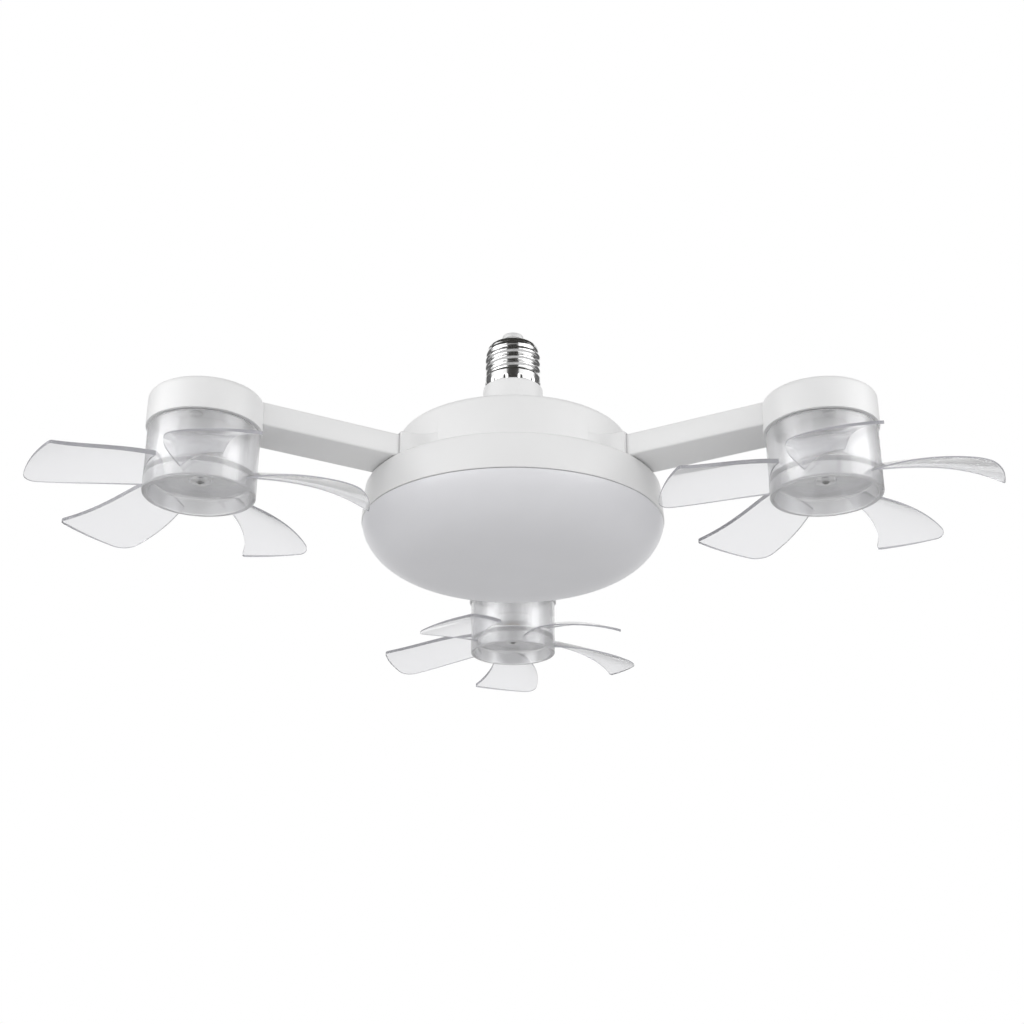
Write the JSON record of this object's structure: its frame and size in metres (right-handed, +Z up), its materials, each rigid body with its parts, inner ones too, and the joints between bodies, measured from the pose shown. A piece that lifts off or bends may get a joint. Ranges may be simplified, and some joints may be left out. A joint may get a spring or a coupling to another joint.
{
  "type": "socket fan light",
  "caption": "Screw-in ceiling lamp with an opal bowl and clear-bladed fans on radial arms, each turning about its own upright shaft.",
  "frame": {"origin": "middle of the centre contact's flat top, on the screw cap's axis", "axes": "+Z up along the screw cap, into the lampholder; -Y towards the viewer of the picture, between the left and right arms; +X to the right"},
  "size_m": [0.3887, 0.3618, 0.1226],
  "materials": {
    "white_plastic": "satin moulded",
    "opal": "opal satin",
    "cap_chrome": "bright rolled",
    "contact_tin": "dull tinned",
    "insulator": "matt",
    "clear_plastic": "clear glossy",
    "aluminium": "satin",
    "board_white": "matt",
    "circuit_board": "satin",
    "winding": "taped",
    "sleeve": "satin",
    "terminal_grey": "matt",
    "steel": "zinc plated",
    "dark_steel": "blackened",
    "bronze": "sintered",
    "lead_white": "sleeved"
  },
  "bodies": {
    "lamp_body": {"centre_contact": "contact_tin", "cap_insulator": "insulator", "screw_shell": "cap_chrome", "upper_housing": "white_plastic", "trim_ring": "white_plastic", "diffuser": "opal", "heat_dish": "aluminium", "led_board": "board_white", "driver_board": "circuit_board", "transformer": "winding", "capacitor": "sleeve", "terminal_block": "terminal_grey", "contact_lead": "lead_white", "arm_left": "white_plastic", "arm_screw_left": "steel", "motor_lead_left": "lead_white", "board_screw_left": "steel", "housing_screw_left": "steel", "motor_housing_left": "white_plastic", "motor_plate_left": "board_white", "motor_can_left": "steel", "motor_bearing_left": "bronze", "motor_screw_left_1": "steel", "motor_screw_left_2": "steel", "motor_screw_left_3": "steel", "arm_right": "white_plastic", "arm_screw_right": "steel", "motor_lead_right": "lead_white", "board_screw_right": "steel", "housing_screw_right": "steel", "motor_housing_right": "white_plastic", "motor_plate_right": "board_white", "motor_can_right": "steel", "motor_bearing_right": "bronze", "motor_screw_right_1": "steel", "motor_screw_right_2": "steel", "motor_screw_right_3": "steel", "arm_back": "white_plastic", "arm_screw_back": "steel", "motor_lead_back": "lead_white", "board_screw_back": "steel", "housing_screw_back": "steel", "motor_housing_back": "white_plastic", "motor_plate_back": "board_white", "motor_can_back": "steel", "motor_bearing_back": "bronze", "motor_screw_back_1": "steel", "motor_screw_back_2": "steel", "motor_screw_back_3": "steel"},
    "rotor_left": {"impeller_left": "clear_plastic", "motor_shaft_left": "steel", "hub_screw_left": "dark_steel"},
    "rotor_right": {"impeller_right": "clear_plastic", "motor_shaft_right": "steel", "hub_screw_right": "dark_steel"},
    "rotor_back": {"impeller_back": "clear_plastic", "motor_shaft_back": "steel", "hub_screw_back": "dark_steel"}
  },
  "joints": [
    {"name": "fan_left_spin", "type": "hinge", "parent": "lamp_body", "child": "rotor_left", "pos_m": [-0.1286, -0.07425, -0.1], "axis": [0, 0, 1], "continuous": true},
    {"name": "fan_right_spin", "type": "hinge", "parent": "lamp_body", "child": "rotor_right", "pos_m": [0.1286, -0.07425, -0.1], "axis": [0, 0, 1], "continuous": true},
    {"name": "fan_back_spin", "type": "hinge", "parent": "lamp_body", "child": "rotor_back", "pos_m": [0, 0.1485, -0.1], "axis": [0, 0, 1], "continuous": true}
  ]
}
